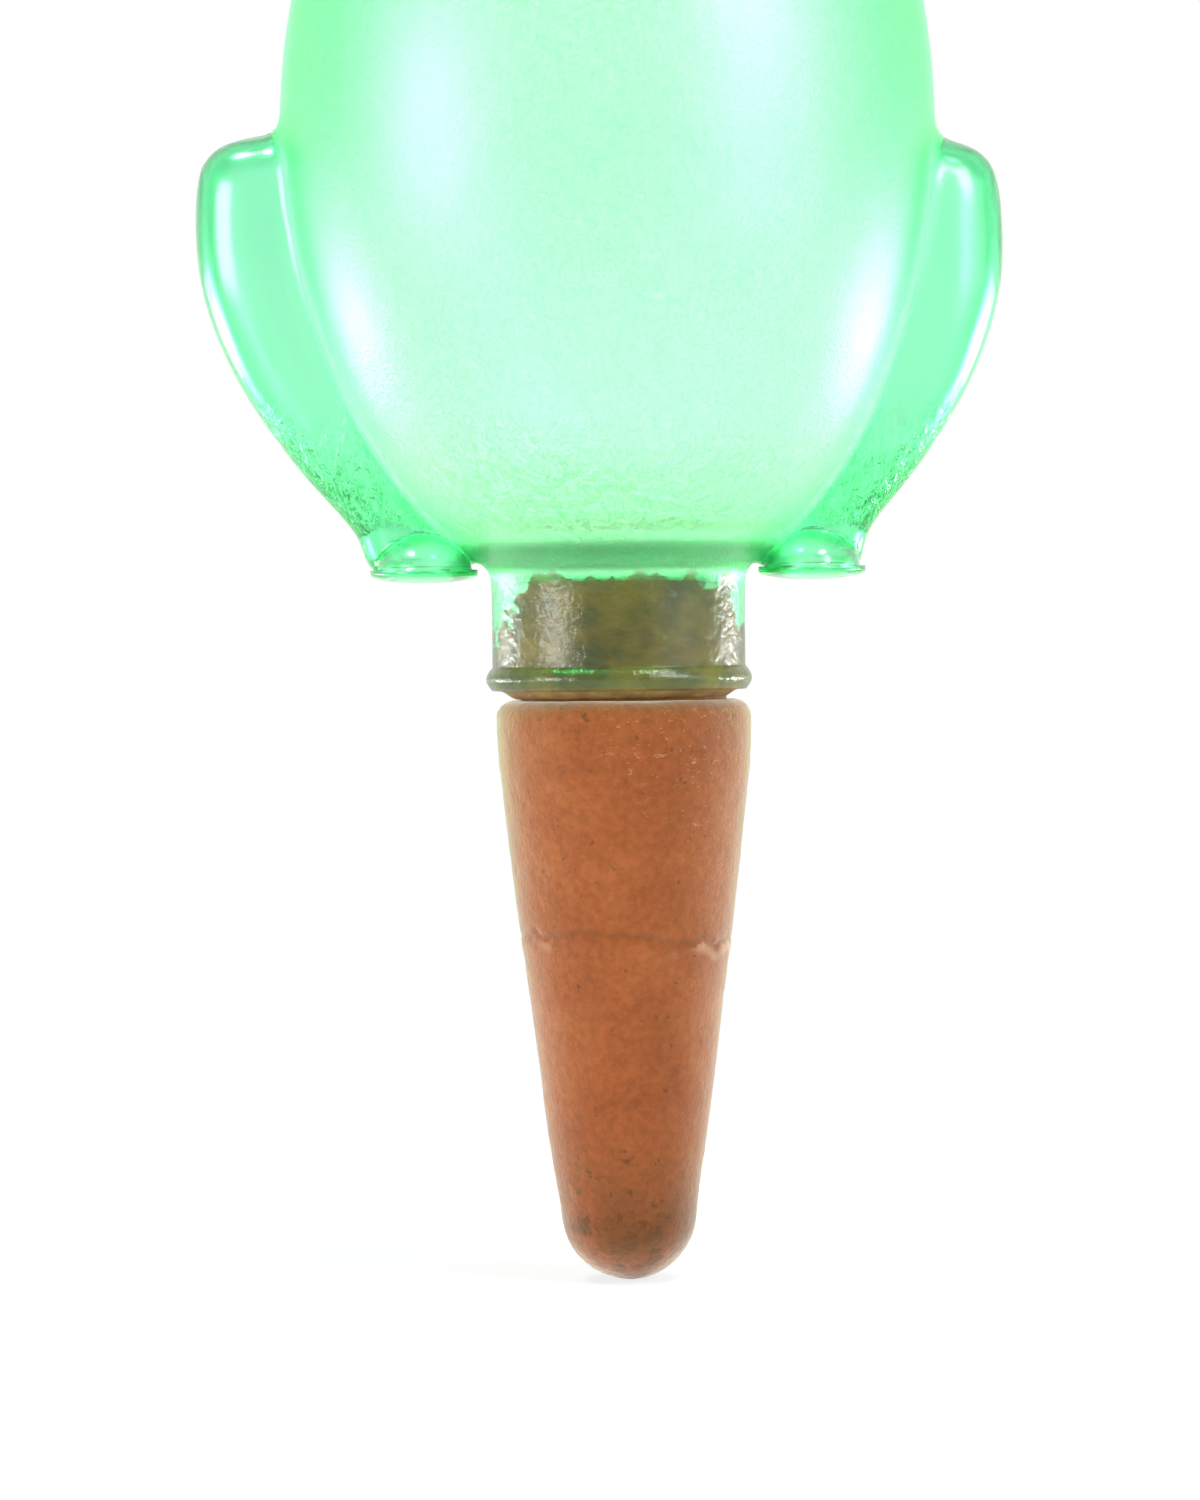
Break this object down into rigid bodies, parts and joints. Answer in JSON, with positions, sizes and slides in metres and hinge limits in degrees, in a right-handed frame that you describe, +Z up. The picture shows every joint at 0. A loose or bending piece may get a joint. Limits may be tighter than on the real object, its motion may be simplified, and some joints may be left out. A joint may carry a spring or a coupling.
{
  "type": "self watering spike",
  "caption": "Blown plastic water reservoir on a hollow clay cone that is pushed into potting soil and lets water seep out.",
  "frame": {"origin": "on the axis of the cone and the reservoir, at the soil line, level with the cone's shoulder", "axes": "+Z up along the axis, from the cone to the filler mouth; the side lobes lie along X and the toes of the feet point to -Y, the front"},
  "size_m": [0.0958, 0.0778, 0.2001],
  "materials": {
    "reservoir": "clear mint green, frosted on the egg and glossy on the side lobes, feet and neck",
    "clay": "unglazed fired clay, dry and matte",
    "sealant": "cured sealant, dull, with bare pockets",
    "cap": "clear mint green, satin"
  },
  "bodies": {
    "reservoir_and_cone": {"reservoir": "reservoir", "clay_cone": "clay", "sealant_sleeve": "sealant"},
    "cap": {"filler_cap": "cap"}
  },
  "joints": [
    {"name": "cap_lift", "type": "slide", "parent": "reservoir_and_cone", "child": "cap", "axis": [0, 0, 1], "range_m": [0, 0.03]}
  ]
}
